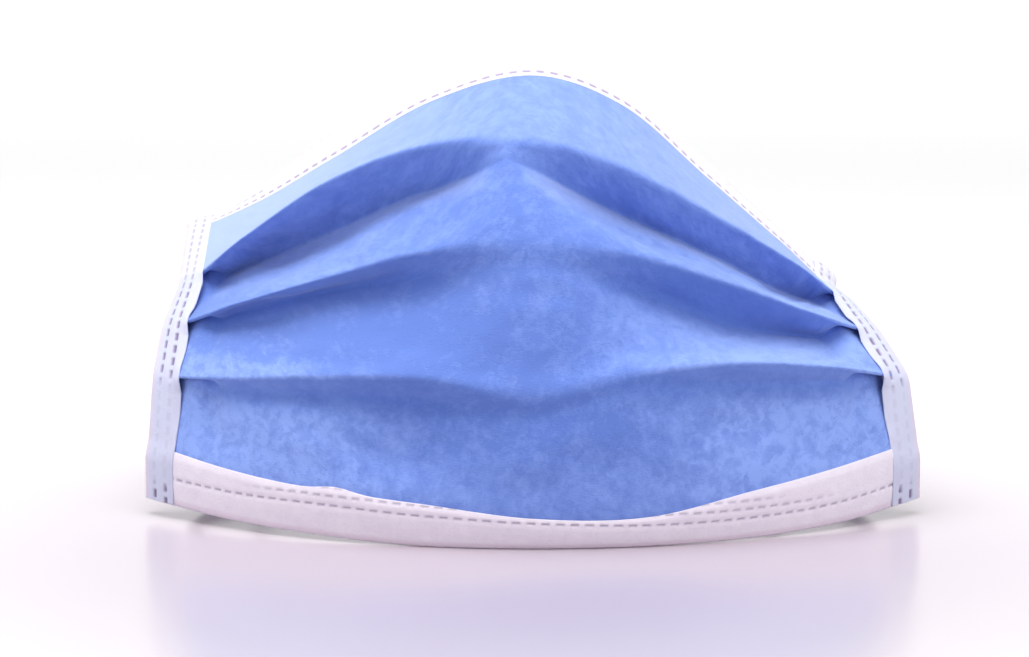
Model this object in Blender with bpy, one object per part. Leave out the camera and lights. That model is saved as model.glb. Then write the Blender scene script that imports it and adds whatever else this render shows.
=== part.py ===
"""Pleated face mask that stands on its chin edge, open towards the back.

The panel is one closed wall whose folds are curves from the left side to the right side. A short
table gives each fold's width, depth and heights. Bindings are strips folded over the panel's four
edges, and an elastic ear loop is welded inside the two corners of each side. +Y is the side that a
wearer's face is on, +X is the right of the picture, and the table top is at z = 0.
"""

import math

import bmesh
import bpy
from mathutils import Vector

MM = 0.001

# Driving sizes of the mask as it stands
HALF_SPAN = 80.0 * MM
MASK_HEIGHT = 96.0 * MM
MASK_DEPTH = 85.0 * MM

# Walls, strips and clearances
PANEL_WALL = 1.0 * MM
PLEAT_STACK = 2.0 * MM
BINDING_WALL = 1.0 * MM
SIDE_BINDING_WIDTH = 9.0 * MM
SEAM_SETBACK = 1.2 * MM
GAP = 0.3 * MM
LOOP_DIAMETER = 3.0 * MM

# How round the mask is in plan: half the angle of the arc that every fold follows
HALF_ARC = 0.79
# A valley lies behind its ridge by this share of how far it lies below it
TUCK = 0.75
# A pleat that is shut keeps this much of its drop
SHUT_DROP = 0.5 * MM
# Places from the middle (0) to a side (1) between which the pleats close
PLEAT_SHUTS = (0.78, 0.88)

COLUMNS = 56
ROW_STEP = 8.0 * MM

# One row for each fold, from the chin up. "left" and "right" are its half widths as shares of
# HALF_SPAN, "side" and "middle" its depths as shares of MASK_DEPTH, and "heights" are shares of
# MASK_HEIGHT at nine even places from the left side to the right side.
FOLDS = {
    "chin_edge": {
        "left": 1.0, "right": 1.0, "side": 0.39, "middle": 0.0,
        "heights": (0.030, 0.020, 0.010, 0.0, 0.0, 0.0, 0.003, 0.012, 0.030),
    },
    "chin_seam": {
        "left": 1.0, "right": 1.0, "side": 0.39, "middle": -0.095,
        "heights": (0.154, 0.133, 0.113, 0.096, 0.070, 0.068, 0.108, 0.138, 0.160),
    },
    "ridge_3": {
        "left": 0.99, "right": 0.98, "side": 0.42, "middle": -0.13,
        "heights": (0.299, 0.318, 0.339, 0.346, 0.312, 0.362, 0.370, 0.341, 0.297),
    },
    "ridge_2": {
        "left": 0.975, "right": 0.915, "side": 0.505, "middle": -0.035,
        "heights": (0.395, 0.464, 0.534, 0.596, 0.616, 0.592, 0.527, 0.447, 0.385),
    },
    "ridge_1": {
        "left": 0.945, "right": 0.86, "side": 0.635, "middle": 0.14,
        "heights": (0.470, 0.601, 0.734, 0.812, 0.824, 0.757, 0.655, 0.544, 0.435),
    },
    "nose_seam": {
        "left": 0.95, "right": 0.84, "side": 0.895, "middle": 0.43,
        "heights": (0.579, 0.649, 0.762, 0.888, 0.945, 0.880, 0.720, 0.569, 0.440),
    },
    "nose_edge": {
        "left": 0.95, "right": 0.84, "side": 1.0, "middle": 0.53,
        "heights": (0.577, 0.673, 0.820, 0.930, 0.990, 0.920, 0.747, 0.592, 0.460),
    },
}
# How far each pleat's valley lies below its ridge, at the same nine places
VALLEY_DROPS = {
    "valley_3": (0.0, 0.030, 0.045, 0.050, 0.045, 0.055, 0.050, 0.035, 0.0),
    "valley_2": (0.0, 0.030, 0.040, 0.060, 0.072, 0.105, 0.095, 0.035, 0.0),
    "valley_1": (0.0, 0.080, 0.125, 0.105, 0.064, 0.103, 0.096, 0.082, 0.0),
}
# The panel's creases in order up the panel. A valley is measured from the ridge over it.
CREASES = (
    "chin_edge", "chin_seam", "valley_3", "ridge_3", "valley_2",
    "ridge_2", "valley_1", "ridge_1", "nose_seam", "nose_edge",
)

# Routes of the ear loops, in millimetres: from the weld inside the top corner down to the table,
# round on it, and back up to the weld inside the bottom corner
LEFT_LOOP = (
    (-69.6, 71.5, 51.0), (-70.0, 76.5, 52.1), (-70.2, 81.5, 52.2), (-69.7, 86.2, 50.0),
    (-68.4, 89.0, 45.0), (-66.5, 90.3, 36.5), (-64.0, 91.0, 25.0), (-61.0, 91.5, 13.5),
    (-56.0, 92.0, 5.2), (-48.5, 91.0, 1.9), (-39.5, 88.0, 1.6), (-32.0, 81.0, 1.6),
    (-29.5, 71.5, 1.6), (-33.0, 62.0, 1.6), (-41.5, 54.5, 1.6), (-52.0, 49.0, 1.6),
    (-62.0, 44.0, 1.8), (-69.0, 38.5, 3.0), (-71.9, 34.0, 6.4), (-72.3, 32.8, 11.5),
)
RIGHT_LOOP = (
    (60.6, 70.5, 40.6), (60.1, 76.0, 41.2), (60.0, 81.0, 41.3), (59.8, 85.8, 39.6),
    (59.0, 88.6, 35.0), (57.5, 90.0, 27.0), (55.5, 91.0, 17.5), (52.3, 91.8, 8.5),
    (46.0, 92.0, 3.0), (37.5, 90.0, 1.6), (28.5, 85.0, 1.6), (22.5, 77.0, 1.6),
    (21.5, 67.5, 1.6), (26.5, 58.5, 1.6), (35.5, 52.5, 1.6), (46.0, 49.0, 1.6),
    (57.0, 45.5, 1.7), (66.5, 40.5, 2.4), (71.2, 35.0, 5.4), (72.3, 32.8, 11.0),
)
LOOP_POINTS = 36

BLUE = (0.20, 0.36, 0.78, 1.0)
WHITE = (0.86, 0.86, 0.90, 1.0)


def smooth(low, high, value):
    """0 below low, 1 above high and an even curve between them."""
    t = min(1.0, max(0.0, (value - low) / (high - low)))
    return t * t * (3.0 - 2.0 * t)


def between(row, u):
    """A table row's value at u, from -1 to 1, on a smooth curve through its places."""
    at = (u + 1.0) * 0.5 * (len(row) - 1)
    i = min(len(row) - 2, max(0, int(at)))
    t = at - i
    a = row[max(i - 1, 0)]
    b = row[i]
    c = row[i + 1]
    d = row[min(i + 2, len(row) - 1)]
    bend = 2.0 * a - 5.0 * b + 4.0 * c - d
    twist = 3.0 * (b - c) + d - a
    return b + 0.5 * t * (c - a + t * (bend + t * twist))


def fold_point(name, u):
    """Where a fold of the table passes at u."""
    fold = FOLDS[name]
    half_width = fold["left"] if u < 0 else fold["right"]
    x = half_width * HALF_SPAN * math.sin(HALF_ARC * u) / math.sin(HALF_ARC)
    arc = (1.0 - math.cos(HALF_ARC * u)) / (1.0 - math.cos(HALF_ARC))
    y = MASK_DEPTH * (fold["middle"] + (fold["side"] - fold["middle"]) * arc)
    z = MASK_HEIGHT * max(0.0, between(fold["heights"], u))
    return Vector((x, y, z))


def openness(u):
    """1 where the pleats stand open and 0 where the side binding holds them shut."""
    return 1.0 - smooth(*PLEAT_SHUTS, abs(u))


def crease_point(name, u):
    """Where a crease of the panel's outer face passes at u."""
    if name in FOLDS:
        return fold_point(name, u)
    ridge = fold_point(name.replace("valley", "ridge"), u)
    below = fold_point(CREASES[CREASES.index(name) - 1], u)
    shut = (below - ridge).normalized() * SHUT_DROP
    drop = MASK_HEIGHT * max(0.0, between(VALLEY_DROPS[name], u))
    opened = Vector((0.0, TUCK * drop, -drop))
    return ridge + shut.lerp(opened, openness(u))


def across(name, u):
    """The direction of a crease at u, from left to right."""
    step = 0.004
    low = max(-1.0, u - step)
    high = min(1.0, u + step)
    return (crease_point(name, high) - crease_point(name, low)).normalized()


def run_normal(lower, upper, u):
    """The outward normal of the run between two creases."""
    up = crease_point(upper, u) - crease_point(lower, u)
    side = across(lower, u) + across(upper, u)
    return side.cross(up).normalized()


def wall_at(u):
    """The panel's thickness: one layer in the middle, stacked layers where the pleats are shut."""
    return PANEL_WALL + (PLEAT_STACK - PANEL_WALL) * smooth(0.6, PLEAT_SHUTS[1], abs(u))


def heel(normal, outward, wall):
    """The rounded fold of a binding round an edge, as offsets from the edge's outer corner."""
    reach = GAP + BINDING_WALL
    shoulder = GAP + 0.4 * BINDING_WALL
    return [
        normal * reach,
        normal * shoulder + outward * reach,
        outward * reach - normal * (wall + shoulder),
        -normal * (wall + reach),
    ]


def edge_corner(edge, seam, u):
    """The outer corner of the panel's raw edge, set back inside the fold of its binding."""
    tip = fold_point(edge, u)
    run = (fold_point(seam, u) - tip).normalized()
    if edge == "nose_edge":
        return tip + run * (GAP + BINDING_WALL)
    fold = heel(run_normal(edge, seam, u), -run, wall_at(u))
    foot = (fold[0] + fold[1]) * 0.5
    lowest = min(offset.z for offset in fold)
    return tip - Vector((foot.x, foot.y, lowest))


def outer_profile(u):
    """The panel's outer face at u, from the chin up."""
    points = [crease_point(name, u) for name in CREASES]
    points[0] = edge_corner("chin_edge", "chin_seam", u)
    points[-1] = edge_corner("nose_edge", "nose_seam", u)
    return points


def profiles(u):
    """The panel's outer and inner faces at u. The inner one is mitred where the pleats are open."""
    outer = outer_profile(u)
    wall = wall_at(u)
    normals = [run_normal(a, b, u) for a, b in zip(CREASES, CREASES[1:])]
    is_pleat = [a.startswith("valley") for a in CREASES[:-1]]
    body = [n for n, pleat in zip(normals, is_pleat) if not pleat]
    plain = sum(body, Vector()).normalized()
    inner = []
    for i, point in enumerate(outer):
        near = [normals[j] for j in (i - 1, i) if 0 <= j < len(normals)]
        mitre = sum(near, Vector()) / (1.0 + near[0].dot(near[-1])) if len(near) == 2 else near[0].copy()
        long_runs = [normals[j] for j in (i - 2, i - 1, i, i + 1) if 0 <= j < len(normals) and not is_pleat[j]]
        shut = sum(long_runs, plain * 0.001).normalized()
        inner.append(point - wall * shut.lerp(mitre, smooth(0.0, 0.6, openness(u))))
    return outer, inner


def new_object(name, mesh_builder, colour, roughness):
    """Makes a named object with its own material from a filled bmesh."""
    mesh = bpy.data.meshes.new(name)
    bmesh.ops.recalc_face_normals(mesh_builder, faces=mesh_builder.faces)
    mesh_builder.to_mesh(mesh)
    mesh_builder.free()
    obj = bpy.data.objects.new(name, mesh)
    bpy.context.scene.collection.objects.link(obj)
    obj.data.materials.append(new_material(name, colour, roughness))
    return obj


def new_material(name, colour, roughness):
    """A Principled BSDF for one sub-part."""
    material = bpy.data.materials.new(name + "_finish")
    material.use_nodes = True
    shader = material.node_tree.nodes["Principled BSDF"]
    shader.inputs["Base Color"].default_value = colour
    shader.inputs["Roughness"].default_value = roughness
    shader.inputs["Metallic"].default_value = 0.0
    return material


def loft(sections):
    """A closed wall through rings of points. The first half of a ring is its outer line, and the rest
    comes back along its inner line, so a rim is a ladder of faces between the two."""
    solid = bmesh.new()
    rings = [[solid.verts.new(p) for p in section] for section in sections]
    for first, second in zip(rings, rings[1:]):
        for i in range(len(first)):
            j = (i + 1) % len(first)
            solid.faces.new((first[i], first[j], second[j], second[i]))
    for ring in (rings[0], rings[-1]):
        for i in range(len(ring) // 2 - 1):
            solid.faces.new((ring[i], ring[i + 1], ring[-2 - i], ring[-1 - i]))
    return solid


def columns(limit):
    """The panel's columns between -limit and limit, which every strip across it shares."""
    even = [2.0 * i / COLUMNS - 1.0 for i in range(COLUMNS + 1)]
    margin = 0.3 / COLUMNS
    return [-limit] + [u for u in even if abs(u) < limit - margin] + [limit]


def run_rows():
    """How many rows of faces each run has, from its length in the middle of the mask."""
    middle = [crease_point(name, 0.0) for name in CREASES]
    return [math.ceil((b - a).length / ROW_STEP) for a, b in zip(middle, middle[1:])]


def finer(profile):
    """A profile of creases with the extra rows in its runs."""
    points = []
    for low, high, rows in zip(profile, profile[1:], run_rows()):
        points += [low.lerp(high, i / rows) for i in range(rows)]
    return points + [profile[-1]]


def side_inset():
    """How far u stops short of 1 where the panel ends inside a side binding."""
    return (GAP + BINDING_WALL) / side_length()


def side_length():
    """Half the length of the chin edge, along its arc."""
    return HALF_SPAN * HALF_ARC / math.sin(HALF_ARC)


def make_panel():
    """The pleated sheet as one closed wall."""
    sections = []
    for u in columns(1.0 - side_inset()):
        outer, inner = profiles(u)
        sections.append(finer(outer) + finer(inner)[::-1])
    return new_object("mask_panel", loft(sections), BLUE, 0.85)


def folded_strip(name, rails, ground=None):
    """A strip folded over an edge. Each rail has the edge and the leg's tip on the outer face and on
    the inner face, and ground gives the height that the fold rests at."""
    sections = []
    for i, (edge, tip, inner_edge, inner_tip) in enumerate(rails):
        before = rails[max(i - 1, 0)]
        after = rails[min(i + 1, len(rails) - 1)]
        along = after[0] - before[0]
        outward = (edge - tip).normalized()
        normal = (edge - inner_edge)
        normal = (normal - outward * normal.dot(outward)).normalized()
        wall = (edge - inner_edge).dot(normal)
        fold = [edge + offset for offset in heel(normal, outward, wall)]
        if ground:
            low = ground[i]
            fold = [Vector((p.x, p.y, low)) if p.z < low + BINDING_WALL / 2 else p for p in fold]
        near = normal * GAP
        far = normal * (GAP + BINDING_WALL)
        past = outward * GAP
        outside = [tip + far] + fold + [inner_tip - far]
        inside = [tip + near, edge + near, edge + near + past]
        inside += [inner_edge - near + past, inner_edge - near, inner_tip - near]
        sections.append(outside + inside[::-1])
    return new_object(name, loft(sections), WHITE, 0.8)


def make_edge_binding(name, edge, seam):
    """The binding of the nose edge or of the chin edge, between the two side bindings."""
    stop = 1.0 - (SIDE_BINDING_WIDTH + GAP) / side_length()
    first, second = (0, 1) if edge == "chin_edge" else (-1, -2)
    rails = []
    ground = []
    for u in columns(stop):
        outer, inner = profiles(u)
        leg = outer[second] - outer[first]
        tip = outer[first] + leg * (1.0 - SEAM_SETBACK / leg.length)
        inner_tip = inner[first].lerp(inner[second], 1.0 - SEAM_SETBACK / leg.length)
        rails.append((outer[first], tip, inner[first], inner_tip))
        ground.append(fold_point("chin_edge", u).z)
    return folded_strip(name, rails, ground if edge == "chin_edge" else None)


def make_side_binding(name, sign):
    """The binding of one side, over the ends of the pleats, from the chin to the nose."""
    edge_u = sign * (1.0 - side_inset())
    tip_u = sign * (1.0 - SIDE_BINDING_WIDTH / side_length())
    edge_outer, edge_inner = [finer(face) for face in profiles(edge_u)]
    tip_outer, tip_inner = [finer(face) for face in profiles(tip_u)]
    rails = list(zip(edge_outer, tip_outer, edge_inner, tip_inner))
    cover = GAP + BINDING_WALL
    chin_drop = (edge_outer[0] - edge_outer[1]).normalized() * cover
    nose_rise = (edge_outer[-1] - edge_outer[-2]).normalized() * cover
    rails.insert(0, tuple(p + chin_drop for p in rails[0]))
    rails.append(tuple(p + nose_rise for p in rails[-1]))
    return folded_strip(name, rails)


def make_ear_loop(name, route):
    """A round elastic, as a tube on a smooth curve through the route's points."""
    points = [Vector(p) * MM for p in route]
    curve = bpy.data.curves.new(name, "CURVE")
    curve.dimensions = "3D"
    curve.bevel_depth = LOOP_DIAMETER / 2.0
    curve.bevel_resolution = 2
    curve.use_fill_caps = True
    spline = curve.splines.new("POLY")
    spline.points.add(LOOP_POINTS - 1)
    for i in range(LOOP_POINTS):
        u = 2.0 * i / (LOOP_POINTS - 1) - 1.0
        place = [between([p[axis] for p in points], u) for axis in range(3)]
        spline.points[i].co = (*place, 1.0)
    obj = bpy.data.objects.new(name, curve)
    bpy.context.scene.collection.objects.link(obj)
    curve.materials.append(new_material(name, WHITE, 0.7))
    return obj


def main():
    for obj in list(bpy.data.objects):
        bpy.data.objects.remove(obj, do_unlink=True)
    make_panel()
    make_edge_binding("top_binding", "nose_edge", "nose_seam")
    make_edge_binding("bottom_binding", "chin_edge", "chin_seam")
    make_side_binding("left_side_binding", -1.0)
    make_side_binding("right_side_binding", 1.0)
    make_ear_loop("ear_loop_left", LEFT_LOOP)
    make_ear_loop("ear_loop_right", RIGHT_LOOP)


main()
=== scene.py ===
# %% [markdown]
# # A pleated face mask that stands on its chin edge
# The real thing is three thin layers of nonwoven cloth, pleated three times, with a white strip
# folded over each of its four edges and a round elastic loop on each side. It stands on its
# chin edge and leans back like an open dome, so its pleats gape in the middle and stay shut at
# the sides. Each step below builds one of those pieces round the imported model.
#
# Everything is in metres. +X is the right of the picture, +Y is away from the camera, where a
# wearer's face would be, and the table top is at z = 0.

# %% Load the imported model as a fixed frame
import math

import bpy
import numpy as np
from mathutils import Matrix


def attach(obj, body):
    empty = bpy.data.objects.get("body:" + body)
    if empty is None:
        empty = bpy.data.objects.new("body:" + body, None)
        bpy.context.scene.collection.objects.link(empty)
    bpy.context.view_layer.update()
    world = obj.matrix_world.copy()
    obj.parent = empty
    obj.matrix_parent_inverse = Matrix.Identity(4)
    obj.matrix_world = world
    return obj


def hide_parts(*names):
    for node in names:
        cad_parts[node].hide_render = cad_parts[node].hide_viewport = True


MM = 0.001

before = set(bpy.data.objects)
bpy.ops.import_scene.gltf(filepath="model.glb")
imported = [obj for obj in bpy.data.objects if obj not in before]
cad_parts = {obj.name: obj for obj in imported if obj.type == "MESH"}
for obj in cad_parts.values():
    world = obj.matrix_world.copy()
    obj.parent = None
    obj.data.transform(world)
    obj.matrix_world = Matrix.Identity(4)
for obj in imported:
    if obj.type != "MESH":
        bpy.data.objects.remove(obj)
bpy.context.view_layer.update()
bpy.ops.object.select_all(action="DESELECT")
print("nodes:", sorted(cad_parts))

# %% [markdown]
# ## The camera
# The picture was taken with a long lens from a little above table height. The pitch of about
# seven degrees was fitted to how high the chin, the ridges and the nose edge lie in the picture.
# A long lens flattens depth, which is why the dome reads almost like a drawing.

# %% Camera
CAMERA_PLACE = (-3.8 * MM, -600.0 * MM, 115.7 * MM)
CAMERA_PITCH = math.radians(6.9365)
PICTURE_WIDTH = 1029
PIXELS_PER_TANGENT = 3084.0

camera_data = bpy.data.cameras.new("picture_camera")
camera_data.sensor_width = 36.0
camera_data.lens = PIXELS_PER_TANGENT / PICTURE_WIDTH * camera_data.sensor_width
camera_data.clip_start = 0.01
camera = bpy.data.objects.new("picture_camera", camera_data)
camera.location = CAMERA_PLACE
camera.rotation_euler = (math.pi / 2 - CAMERA_PITCH, 0.0, 0.0)
bpy.context.scene.collection.objects.link(camera)
bpy.context.scene.camera = camera
print("lens, mm:", round(camera_data.lens, 1))

# %% [markdown]
# ## A small kit for curves through table rows
# A fold of the mask is a curve from the left side to the right side. A table row gives its
# value at a few even places, and a smooth curve passes through them. NumPy works out all the
# columns of the mask at once.


# %% Curves through table rows
def smooth(low, high, value):
    """0 below low, 1 above high and an even curve between them."""
    t = np.clip((value - low) / (high - low), 0.0, 1.0)
    return t * t * (3.0 - 2.0 * t)


def between(row, u):
    """The row's value at u, from -1 to 1, on a smooth curve through its even places."""
    row = np.asarray(row, float)
    at = (np.asarray(u, float) + 1.0) * 0.5 * (len(row) - 1)
    i = np.clip(at.astype(int), 0, len(row) - 2)
    t = at - i
    a = row[np.maximum(i - 1, 0)]
    b = row[i]
    c = row[i + 1]
    d = row[np.minimum(i + 2, len(row) - 1)]
    bend = 2.0 * a - 5.0 * b + 4.0 * c - d
    twist = 3.0 * (b - c) + d - a
    return b + 0.5 * t * (c - a + t * (bend + t * twist))


def unit(vectors):
    """The same vectors, one unit long."""
    return vectors / np.maximum(np.linalg.norm(vectors, axis=-1, keepdims=True), 1e-12)


# %% [markdown]
# ## The ear loops
# Each loop is a soft round elastic, 3 mm thick and 16 to 17 cm long, welded inside the two
# corners of its side. It drops from the upper weld and lies on the table behind the mask, where
# the picture hides it. A curve with a bevel gives the tube. Its ends are then pressed flat
# against the cloth, as a weld does, and each point keeps how far along the tube it lies, which
# places the ribs of the knit.

# %% Routes of the ear loops, in millimetres
LOOP_ROUTES = {
    "ear_loop_left": (
        (-69.6, 71.5, 51.0), (-70.0, 76.5, 52.1), (-70.2, 81.5, 52.2), (-69.7, 86.2, 50.0),
        (-68.4, 89.0, 45.0), (-66.5, 90.3, 36.5), (-64.0, 91.0, 25.0), (-61.0, 91.5, 13.5),
        (-56.0, 92.0, 5.2), (-48.5, 91.0, 1.9), (-39.5, 88.0, 1.6), (-32.0, 81.0, 1.6),
        (-29.5, 71.5, 1.6), (-33.0, 62.0, 1.6), (-41.5, 54.5, 1.6), (-52.0, 49.0, 1.6),
        (-62.0, 44.0, 1.8), (-69.0, 38.5, 3.0), (-71.9, 34.0, 6.4), (-72.3, 32.8, 11.5),
    ),
    "ear_loop_right": (
        (60.6, 70.5, 40.6), (60.1, 76.0, 41.2), (60.0, 81.0, 41.3), (59.8, 85.8, 39.6),
        (59.0, 88.6, 35.0), (57.5, 90.0, 27.0), (55.5, 91.0, 17.5), (52.3, 91.8, 8.5),
        (46.0, 92.0, 3.0), (37.5, 90.0, 1.6), (28.5, 85.0, 1.6), (22.5, 77.0, 1.6),
        (21.5, 67.5, 1.6), (26.5, 58.5, 1.6), (35.5, 52.5, 1.6), (46.0, 49.0, 1.6),
        (57.0, 45.5, 1.7), (66.5, 40.5, 2.4), (71.2, 35.0, 5.4), (72.3, 32.8, 11.0),
    ),
}
LOOP_DIAMETER = 3.0 * MM
LOOP_RINGS = 260
# The cloth's direction at each loop's upper and lower end
WELD_FACES = {
    "ear_loop_left": ((-0.50, -0.15, 0.85), (-0.75, -0.66, 0.0)),
    "ear_loop_right": ((0.62, -0.03, 0.78), (0.75, -0.66, 0.0)),
}
WELD_FLATNESS = 0.62
WELD_LENGTH = 2.0 * MM
ROUND_FROM = 7.0 * MM
# The thin cloth lies further out than the thick solids, so each end rises to it over this length
WELD_RISE = 2.45 * MM
RISE_LENGTH = 10.0 * MM


def travel_along(line):
    """Each point's distance from the start of a line."""
    return np.concatenate([[0.0], np.cumsum(np.linalg.norm(np.diff(line, axis=0), axis=1))])


def raise_ends(line, faces):
    """A loop's line with both ends brought up to the cloth."""
    travel = travel_along(line)
    raised = line.copy()
    for face, from_end in zip(faces, (travel, travel[-1] - travel)):
        raised += np.outer(WELD_RISE * (1.0 - smooth(0.0, RISE_LENGTH, from_end)), face)
    return raised


def press_ends(loop, line, faces):
    """Flattens a tube's two ends and keeps each point's distance along the tube."""
    travel = travel_along(line)
    places = np.zeros(len(loop.data.vertices) * 3)
    loop.data.vertices.foreach_get("co", places)
    places = places.reshape(-1, 3)
    nearest = np.argmin(((places[:, None] - line[None]) ** 2).sum(axis=2), axis=1)
    offset = places - line[nearest]
    for face, from_end in zip(faces, (travel[nearest], travel[-1] - travel[nearest])):
        pressed = WELD_FLATNESS * (1.0 - smooth(WELD_LENGTH, ROUND_FROM, from_end))
        places -= np.outer(pressed * (offset @ np.array(face)), face)
    loop.data.vertices.foreach_set("co", places.ravel())
    along = loop.data.attributes.new("along", "FLOAT", "POINT")
    along.data.foreach_set("value", travel[nearest].astype(np.float32))


# %% Ear loops
loops = []
for name, route in LOOP_ROUTES.items():
    along = np.linspace(-1.0, 1.0, LOOP_RINGS)
    line = np.stack([between([p[axis] for p in route], along) for axis in range(3)], axis=1) * MM
    line = raise_ends(line, WELD_FACES[name])
    curve = bpy.data.curves.new(name + "_elastic", "CURVE")
    curve.dimensions = "3D"
    curve.bevel_depth = LOOP_DIAMETER / 2.0
    curve.bevel_resolution = 4
    curve.use_fill_caps = True
    spline = curve.splines.new("POLY")
    spline.points.add(LOOP_RINGS - 1)
    for point, place in zip(spline.points, line):
        point.co = (*place, 1.0)
    loop = bpy.data.objects.new(name + "_elastic", curve)
    bpy.context.scene.collection.objects.link(loop)
    bpy.context.view_layer.objects.active = loop
    loop.select_set(True)
    bpy.ops.object.convert(target="MESH")
    bpy.ops.object.shade_smooth()
    loop.select_set(False)
    press_ends(loop, line, WELD_FACES[name])
    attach(loop, "root")
    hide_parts(name)
    loops.append(loop)

# %% [markdown]
# ## The shape of the panel
# The panel is one sheet with ten creases from side to side. A table gives each crease's half
# widths, depths and heights, as shares of the mask's own sizes. A valley is measured from the
# ridge that hangs over it. In the middle it lies below and behind that ridge, and at the sides
# it goes up behind the ridge, as a shut pleat does.

# %% Sizes of the mask as it stands
HALF_SPAN = 80.0 * MM
MASK_HEIGHT = 96.0 * MM
MASK_DEPTH = 85.0 * MM
HALF_ARC = 0.79
ARC_LENGTH = HALF_SPAN * HALF_ARC / math.sin(HALF_ARC)
print("chin edge along its curve, mm:", round(2.0 * ARC_LENGTH / MM, 1))

FOLDS = {
    "chin_edge": {
        "left": 1.0, "right": 1.0, "side": 0.39, "middle": -0.07,
        "heights": (0.030, 0.020, 0.010, 0.0, 0.0, 0.0, 0.003, 0.012, 0.030),
    },
    "chin_seam": {
        "left": 1.0, "right": 1.0, "side": 0.39, "middle": -0.095,
        "heights": (0.154, 0.133, 0.113, 0.096, 0.070, 0.068, 0.108, 0.138, 0.160),
    },
    "ridge_3": {
        "left": 0.99, "right": 0.98, "side": 0.42, "middle": -0.09,
        "heights": (0.299, 0.318, 0.339, 0.346, 0.312, 0.362, 0.370, 0.341, 0.297),
    },
    "ridge_2": {
        "left": 0.975, "right": 0.915, "side": 0.505, "middle": 0.0,
        "heights": (0.395, 0.464, 0.534, 0.596, 0.616, 0.592, 0.527, 0.447, 0.385),
    },
    "ridge_1": {
        "left": 0.945, "right": 0.86, "side": 0.635, "middle": 0.14,
        "heights": (0.470, 0.601, 0.734, 0.812, 0.824, 0.757, 0.655, 0.544, 0.435),
    },
    "nose_seam": {
        "left": 0.95, "right": 0.84, "side": 0.895, "middle": 0.43,
        "heights": (0.579, 0.649, 0.762, 0.888, 0.945, 0.880, 0.720, 0.569, 0.440),
    },
    "nose_edge": {
        "left": 0.95, "right": 0.84, "side": 1.0, "middle": 0.53,
        "heights": (0.577, 0.673, 0.820, 0.930, 0.990, 0.920, 0.747, 0.592, 0.460),
    },
}
VALLEY_DROPS = {
    "valley_3": (0.010, 0.025, 0.040, 0.050, 0.030, 0.030, 0.050, 0.035, 0.010),
    "valley_2": (0.010, 0.026, 0.032, 0.050, 0.030, 0.075, 0.100, 0.062, 0.010),
    "valley_1": (0.010, 0.080, 0.125, 0.105, 0.085, 0.106, 0.096, 0.082, 0.010),
}
# What a pleat does as it shuts: how far its valley goes up behind the ridge, and how deep
HIDDEN_RISE = 3.2 * MM
SHUT_STEP = 0.75 * MM
# While it's half shut, the valley passes this much deeper behind the ridge
HALF_SHUT_STEP = 1.2 * MM
# The cloth turns back over this distance at a ridge, so that two layers fit in the fold
FOLD_DEPTH = 0.75 * MM
# How far an open valley lies behind its ridge, as a share of how far it lies below it
TUCKS = {
    "valley_3": (1.2, 1.2, 1.2, 1.1, 0.5, 0.3, 1.1, 1.2, 1.2),
    "valley_2": (2.4, 2.8, 2.8, 1.4, 0.1, 0.8, 1.0, 1.4, 1.4),
    "valley_1": (1.6, 1.7, 1.2, 0.8, 0.4, 0.7, 0.8, 1.3, 1.4),
}
# Places between which each pleat shuts, from the middle (0) to the side (1)
SHUTS = {"valley_3": (0.74, 0.86), "valley_2": (0.74, 0.87), "valley_1": (0.81, 0.92)}
# The crease of a shut pleat's facet slants: its lower end is this much nearer to the side
FACET_SLANTS = {"valley_3": 0.03, "valley_2": 0.04, "valley_1": 0.08}
# The uppermost valley rises to a sharp peak where the nose pushes the pleat open
PEAK_AT = -0.065
PEAK_RISE = 0.045
PEAK_REACH = 0.22
PEAK_FORWARD = 0.8
PEAK_SHARPNESS = 2.2
# The lower strip's seam has a small bump left of the middle
SEAM_BUMP = 1.0 * MM
SEAM_BUMP_AT = -0.45
SEAM_BUMP_REACH = 0.055


# %% Creases of the panel
def fold_line(name, u):
    """Where a fold of the table passes, for every u."""
    fold = FOLDS[name]
    half_width = np.where(u < 0, fold["left"], fold["right"])
    x = half_width * HALF_SPAN * np.sin(HALF_ARC * u) / math.sin(HALF_ARC)
    arc = (1.0 - np.cos(HALF_ARC * u)) / (1.0 - math.cos(HALF_ARC))
    y = MASK_DEPTH * (fold["middle"] + (fold["side"] - fold["middle"]) * arc)
    z = MASK_HEIGHT * np.maximum(0.0, between(fold["heights"], u))
    if name == "chin_seam":
        z = z + SEAM_BUMP * np.exp(-(((u - SEAM_BUMP_AT) / SEAM_BUMP_REACH) ** 2))
    return np.stack([x, y, z], axis=-1)


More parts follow.
